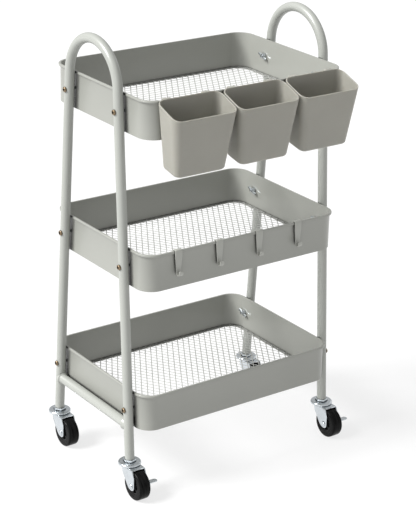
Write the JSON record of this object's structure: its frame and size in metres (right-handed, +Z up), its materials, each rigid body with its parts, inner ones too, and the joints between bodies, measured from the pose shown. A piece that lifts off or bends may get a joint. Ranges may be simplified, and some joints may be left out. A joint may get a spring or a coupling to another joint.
{
  "type": "rolling utility cart",
  "caption": "Rolling cart with stacked mesh-floored trays between bent tube end frames, swivel casters, hanging cups and small hooks.",
  "frame": {"origin": "on the floor, under the middle of the whole cart with its cups and foot tabs", "axes": "+Z up, +X along the trays to the end that is on the right from the cup side, -Y towards the cup side"},
  "size_m": [0.4488, 0.3344, 0.745],
  "materials": {
    "tray_paint": "satin powder coat",
    "mesh_paint": "satin powder coat",
    "frame_paint": "satin powder coat",
    "hook_paint": "satin powder coat",
    "screw_steel": "yellow passivated",
    "zinc_steel": "bright zinc",
    "wheel_rubber": "smooth black",
    "black_plastic": "moulded",
    "cup_plastic": "fine satin"
  },
  "bodies": {
    "cart": {"bottom_tray_shell": "tray_paint", "bottom_tray_ledge": "tray_paint", "bottom_tray_mesh": "mesh_paint", "bottom_tray_screws": "screw_steel", "bottom_tray_wing_nuts": "zinc_steel", "middle_tray_shell": "tray_paint", "middle_tray_ledge": "tray_paint", "middle_tray_mesh": "mesh_paint", "middle_tray_screws": "screw_steel", "middle_tray_wing_nuts": "zinc_steel", "top_tray_shell": "tray_paint", "top_tray_ledge": "tray_paint", "top_tray_mesh": "mesh_paint", "top_tray_screws": "screw_steel", "top_tray_wing_nuts": "zinc_steel", "left_frame_tube": "frame_paint", "left_frame_stretcher": "frame_paint", "right_frame_tube": "frame_paint", "right_frame_stretcher": "frame_paint", "leg_inserts": "black_plastic", "front_left_stem": "zinc_steel", "front_left_cap": "zinc_steel", "front_left_stem_nut": "zinc_steel", "rear_left_stem": "zinc_steel", "rear_left_cap": "zinc_steel", "rear_left_stem_nut": "zinc_steel", "front_right_stem": "zinc_steel", "front_right_cap": "zinc_steel", "front_right_stem_nut": "zinc_steel", "rear_right_stem": "zinc_steel", "rear_right_cap": "zinc_steel", "rear_right_stem_nut": "zinc_steel"},
    "front_left_caster": {"front_left_fork": "zinc_steel", "front_left_axle": "zinc_steel"},
    "front_left_wheel": {"front_left_tyre": "wheel_rubber", "front_left_hub": "black_plastic"},
    "front_left_brake": {"front_left_brake_lever": "zinc_steel"},
    "rear_left_caster": {"rear_left_fork": "zinc_steel", "rear_left_axle": "zinc_steel"},
    "rear_left_wheel": {"rear_left_tyre": "wheel_rubber", "rear_left_hub": "black_plastic"},
    "front_right_caster": {"front_right_fork": "zinc_steel", "front_right_axle": "zinc_steel"},
    "front_right_wheel": {"front_right_tyre": "wheel_rubber", "front_right_hub": "black_plastic"},
    "front_right_brake": {"front_right_brake_lever": "zinc_steel"},
    "rear_right_caster": {"rear_right_fork": "zinc_steel", "rear_right_axle": "zinc_steel"},
    "rear_right_wheel": {"rear_right_tyre": "wheel_rubber", "rear_right_hub": "black_plastic"},
    "cup_1_body": {"cup_1": "cup_plastic"},
    "cup_2_body": {"cup_2": "cup_plastic"},
    "cup_3_body": {"cup_3": "cup_plastic"},
    "hook_1_body": {"hook_1": "hook_paint"},
    "hook_2_body": {"hook_2": "hook_paint"},
    "hook_3_body": {"hook_3": "hook_paint"},
    "hook_4_body": {"hook_4": "hook_paint"}
  },
  "joints": [
    {"name": "front_left_swivel", "type": "hinge", "parent": "cart", "child": "front_left_caster", "pos_m": [-0.20542, -0.08178, 0.0536], "axis": [0, 0, 1], "continuous": true},
    {"name": "front_left_wheel_spin", "type": "hinge", "parent": "front_left_caster", "child": "front_left_wheel", "pos_m": [-0.20542, -0.10578, 0.025], "axis": [1, 0, 0], "continuous": true},
    {"name": "front_left_brake_press", "type": "hinge", "parent": "front_left_caster", "child": "front_left_brake", "pos_m": [-0.19043, -0.10578, 0.025], "axis": [1, 0, 0], "range_deg": [0, 20]},
    {"name": "rear_left_swivel", "type": "hinge", "parent": "cart", "child": "rear_left_caster", "pos_m": [-0.20542, 0.13818, 0.0536], "axis": [0, 0, 1], "continuous": true},
    {"name": "rear_left_wheel_spin", "type": "hinge", "parent": "rear_left_caster", "child": "rear_left_wheel", "pos_m": [-0.20542, 0.11418, 0.025], "axis": [1, 0, 0], "continuous": true},
    {"name": "front_right_swivel", "type": "hinge", "parent": "cart", "child": "front_right_caster", "pos_m": [0.19478, -0.08178, 0.0536], "axis": [0, 0, 1], "continuous": true},
    {"name": "front_right_wheel_spin", "type": "hinge", "parent": "front_right_caster", "child": "front_right_wheel", "pos_m": [0.19478, -0.10578, 0.025], "axis": [1, 0, 0], "continuous": true},
    {"name": "front_right_brake_press", "type": "hinge", "parent": "front_right_caster", "child": "front_right_brake", "pos_m": [0.20977, -0.10578, 0.025], "axis": [1, 0, 0], "range_deg": [0, 20]},
    {"name": "rear_right_swivel", "type": "hinge", "parent": "cart", "child": "rear_right_caster", "pos_m": [0.19478, 0.13818, 0.0536], "axis": [0, 0, 1], "continuous": true},
    {"name": "rear_right_wheel_spin", "type": "hinge", "parent": "rear_right_caster", "child": "rear_right_wheel", "pos_m": [0.19478, 0.11418, 0.025], "axis": [1, 0, 0], "continuous": true},
    {"name": "cup_1_lift", "type": "slide", "parent": "cart", "child": "cup_1_body", "axis": [0, 0, 1], "range_m": [0, 0.03]},
    {"name": "cup_2_lift", "type": "slide", "parent": "cart", "child": "cup_2_body", "axis": [0, 0, 1], "range_m": [0, 0.03]},
    {"name": "cup_3_lift", "type": "slide", "parent": "cart", "child": "cup_3_body", "axis": [0, 0, 1], "range_m": [0, 0.03]},
    {"name": "hook_1_lift", "type": "slide", "parent": "cart", "child": "hook_1_body", "axis": [0, 0, 1], "range_m": [0, 0.03]},
    {"name": "hook_2_lift", "type": "slide", "parent": "cart", "child": "hook_2_body", "axis": [0, 0, 1], "range_m": [0, 0.03]},
    {"name": "hook_3_lift", "type": "slide", "parent": "cart", "child": "hook_3_body", "axis": [0, 0, 1], "range_m": [0, 0.03]},
    {"name": "hook_4_lift", "type": "slide", "parent": "cart", "child": "hook_4_body", "axis": [0, 0, 1], "range_m": [0, 0.03]}
  ]
}
